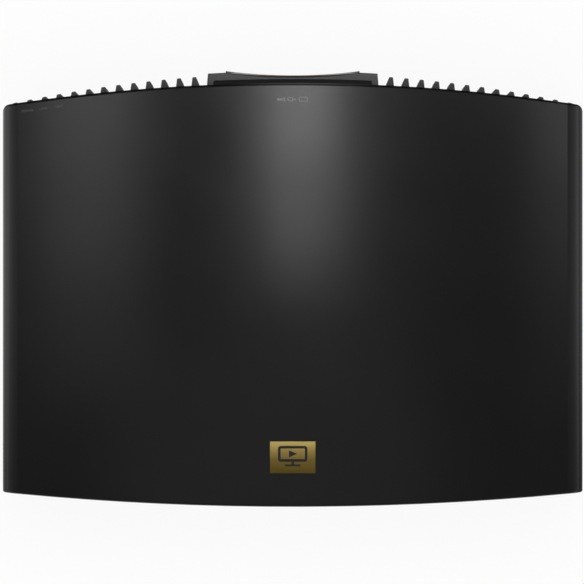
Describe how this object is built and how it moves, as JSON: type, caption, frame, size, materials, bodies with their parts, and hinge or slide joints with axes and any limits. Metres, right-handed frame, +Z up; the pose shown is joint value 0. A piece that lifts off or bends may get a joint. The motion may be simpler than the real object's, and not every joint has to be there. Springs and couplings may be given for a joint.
{
  "type": "home projector",
  "caption": "Wide low home projector with a crowned black cover, finned front grilles, a shifting zoom lens in a concave bezel, side keys, screw feet and rear sockets.",
  "frame": {"origin": "on the ground under the middle of the outline", "axes": "+X to the right of someone who faces the lens, -Y is where the lens looks, +Z up"},
  "size_m": [0.493, 0.37, 0.156],
  "materials": {
    "cover_black": "satin moulded black",
    "case_black": "fine grained black",
    "grille_black": "satin dark grey",
    "bezel_black": "gloss black",
    "gold_trim": "brushed gold",
    "dark_window": "dark infrared window",
    "light_pipe": "frosted light pipe",
    "steel": "plated steel",
    "key_grey": "soft grey black",
    "rubber": "black rubber",
    "brass": "machined brass",
    "engine_alloy": "die-cast",
    "ring_black": "ribbed black",
    "lens_alloy": "black anodised",
    "glass": "coated optical glass",
    "mirror": "mirror coated",
    "wheel_glass": "dichroic segments",
    "lamp_metal": "pressed lamp cage",
    "board": "green circuit board"
  },
  "bodies": {
    "casing": {"top_cover": "cover_black", "bottom_case": "case_black", "left_grille": "grille_black", "right_grille": "grille_black", "lens_hood": "grille_black", "lens_bezel": "bezel_black", "bezel_trim": "gold_trim", "ir_window": "dark_window", "rear_panel": "case_black", "badge_plate": "gold_trim", "indicator_lights": "light_pipe", "lamp_door": "case_black", "case_screws": "steel", "keypad_bezel": "bezel_black", "rear_feet": "rubber", "threaded_inserts": "brass", "shift_base": "engine_alloy", "engine_housing": "engine_alloy", "prism": "glass", "dmd_board": "board", "dmd_heatsink": "engine_alloy", "light_tunnel": "mirror", "relay_lenses": "glass", "color_wheel_motor": "steel", "lamp_housing": "lamp_metal", "lamp_reflector": "mirror", "main_board": "board", "io_sockets": "steel", "jack_sockets": "case_black", "ac_inlet": "bezel_black", "psu_board": "board", "ballast": "board", "left_fan_frame": "case_black", "right_fan_frame": "case_black"},
    "v_knob": {"v_shift_knob": "ring_black"},
    "v_carriage": {"v_shift_carriage": "engine_alloy"},
    "h_knob": {"h_shift_knob": "ring_black"},
    "lens": {"h_shift_carriage": "engine_alloy", "lens_barrel": "lens_alloy"},
    "focus_ring": {"focus_ring": "ring_black"},
    "zoom_ring": {"zoom_ring": "ring_black"},
    "focus_group": {"focus_cell": "lens_alloy", "front_element": "glass"},
    "zoom_group": {"zoom_cell": "lens_alloy", "zoom_element": "glass"},
    "left_pad": {"left_foot_pad": "rubber"},
    "left_screw": {"left_foot_screw": "key_grey"},
    "right_pad": {"right_foot_pad": "rubber"},
    "right_screw": {"right_foot_screw": "key_grey"},
    "left_rotor": {"left_fan_rotor": "ring_black"},
    "right_rotor": {"right_fan_rotor": "ring_black"},
    "color_wheel": {"color_wheel": "wheel_glass"},
    "power_button": {"power_button": "key_grey"},
    "menu_button": {"menu_button": "key_grey"},
    "back_button": {"back_button": "key_grey"},
    "ok_button": {"ok_button": "key_grey"},
    "up_key": {"up_key": "key_grey"},
    "down_key": {"down_key": "key_grey"},
    "left_key": {"left_key": "key_grey"},
    "right_key": {"right_key": "key_grey"}
  },
  "joints": [
    {"name": "v_shift_turn", "type": "hinge", "parent": "casing", "child": "v_knob", "pos_m": [-0.0435, -0.14, 0.0408], "axis": [0, -1, 0], "range_deg": [-35, 35]},
    {"name": "v_shift_slide", "type": "slide", "parent": "casing", "child": "v_carriage", "axis": [0, 0, 1], "range_m": [-0.0035, 0.0035]},
    {"name": "h_shift_turn", "type": "hinge", "parent": "v_carriage", "child": "h_knob", "pos_m": [0.0435, -0.14, 0.0408], "axis": [0, -1, 0], "range_deg": [-25, 25]},
    {"name": "h_shift_slide", "type": "slide", "parent": "v_carriage", "child": "lens", "axis": [1, 0, 0], "range_m": [-0.0025, 0.0025]},
    {"name": "focus_turn", "type": "hinge", "parent": "lens", "child": "focus_ring", "pos_m": [0, -0.1535, 0.0808], "axis": [0, -1, 0], "range_deg": [-60, 60]},
    {"name": "focus_slide", "type": "slide", "parent": "lens", "child": "focus_group", "axis": [0, -1, 0], "range_m": [-0.002, 0.002]},
    {"name": "zoom_turn", "type": "hinge", "parent": "lens", "child": "zoom_ring", "pos_m": [0, -0.136, 0.0808], "axis": [0, -1, 0], "range_deg": [-30, 30]},
    {"name": "zoom_slide", "type": "slide", "parent": "lens", "child": "zoom_group", "axis": [0, -1, 0], "range_m": [-0.005, 0.005]},
    {"name": "left_foot_slide", "type": "slide", "parent": "casing", "child": "left_pad", "axis": [0, 0, -1], "range_m": [0, 0.01]},
    {"name": "left_foot_turn", "type": "hinge", "parent": "left_pad", "child": "left_screw", "pos_m": [-0.195, -0.11, 0.01], "axis": [0, 0, -1], "range_deg": [0, 2390]},
    {"name": "left_fan_spin", "type": "hinge", "parent": "casing", "child": "left_rotor", "pos_m": [-0.15, -0.1279, 0.0808], "axis": [0, 1, 0], "continuous": true},
    {"name": "right_foot_slide", "type": "slide", "parent": "casing", "child": "right_pad", "axis": [0, 0, -1], "range_m": [0, 0.01]},
    {"name": "right_foot_turn", "type": "hinge", "parent": "right_pad", "child": "right_screw", "pos_m": [0.195, -0.11, 0.01], "axis": [0, 0, -1], "range_deg": [0, 2390]},
    {"name": "right_fan_spin", "type": "hinge", "parent": "casing", "child": "right_rotor", "pos_m": [0.15, -0.1279, 0.0808], "axis": [0, 1, 0], "continuous": true},
    {"name": "color_wheel_spin", "type": "hinge", "parent": "casing", "child": "color_wheel", "pos_m": [0.1155, -0.0318, 0.0628], "axis": [1, 0, 0], "continuous": true},
    {"name": "power_button_press", "type": "slide", "parent": "casing", "child": "power_button", "axis": [-1, 0, 0], "range_m": [0, 0.001], "stiffness_N_per_m": 300},
    {"name": "menu_button_press", "type": "slide", "parent": "casing", "child": "menu_button", "axis": [-1, 0, 0], "range_m": [0, 0.001], "stiffness_N_per_m": 300},
    {"name": "back_button_press", "type": "slide", "parent": "casing", "child": "back_button", "axis": [-1, 0, 0], "range_m": [0, 0.001], "stiffness_N_per_m": 300},
    {"name": "ok_button_press", "type": "slide", "parent": "casing", "child": "ok_button", "axis": [-1, 0, 0], "range_m": [0, 0.001], "stiffness_N_per_m": 300},
    {"name": "up_key_press", "type": "slide", "parent": "casing", "child": "up_key", "axis": [-1, 0, 0], "range_m": [0, 0.001], "stiffness_N_per_m": 300},
    {"name": "down_key_press", "type": "slide", "parent": "casing", "child": "down_key", "axis": [-1, 0, 0], "range_m": [0, 0.001], "stiffness_N_per_m": 300},
    {"name": "left_key_press", "type": "slide", "parent": "casing", "child": "left_key", "axis": [-1, 0, 0], "range_m": [0, 0.001], "stiffness_N_per_m": 300},
    {"name": "right_key_press", "type": "slide", "parent": "casing", "child": "right_key", "axis": [-1, 0, 0], "range_m": [0, 0.001], "stiffness_N_per_m": 300}
  ],
  "couplings": [
    {"joint": "v_shift_turn", "follows": "v_shift_slide", "rad_per_m": 166.67},
    {"joint": "h_shift_turn", "follows": "h_shift_slide", "rad_per_m": -166.67},
    {"joint": "focus_slide", "follows": "focus_turn", "m_per_rad": 0.0019},
    {"joint": "zoom_slide", "follows": "zoom_turn", "m_per_rad": 0.0095},
    {"joint": "left_foot_slide", "follows": "left_foot_turn", "m_per_rad": 0.0002387},
    {"joint": "right_foot_slide", "follows": "right_foot_turn", "m_per_rad": 0.0002387}
  ]
}
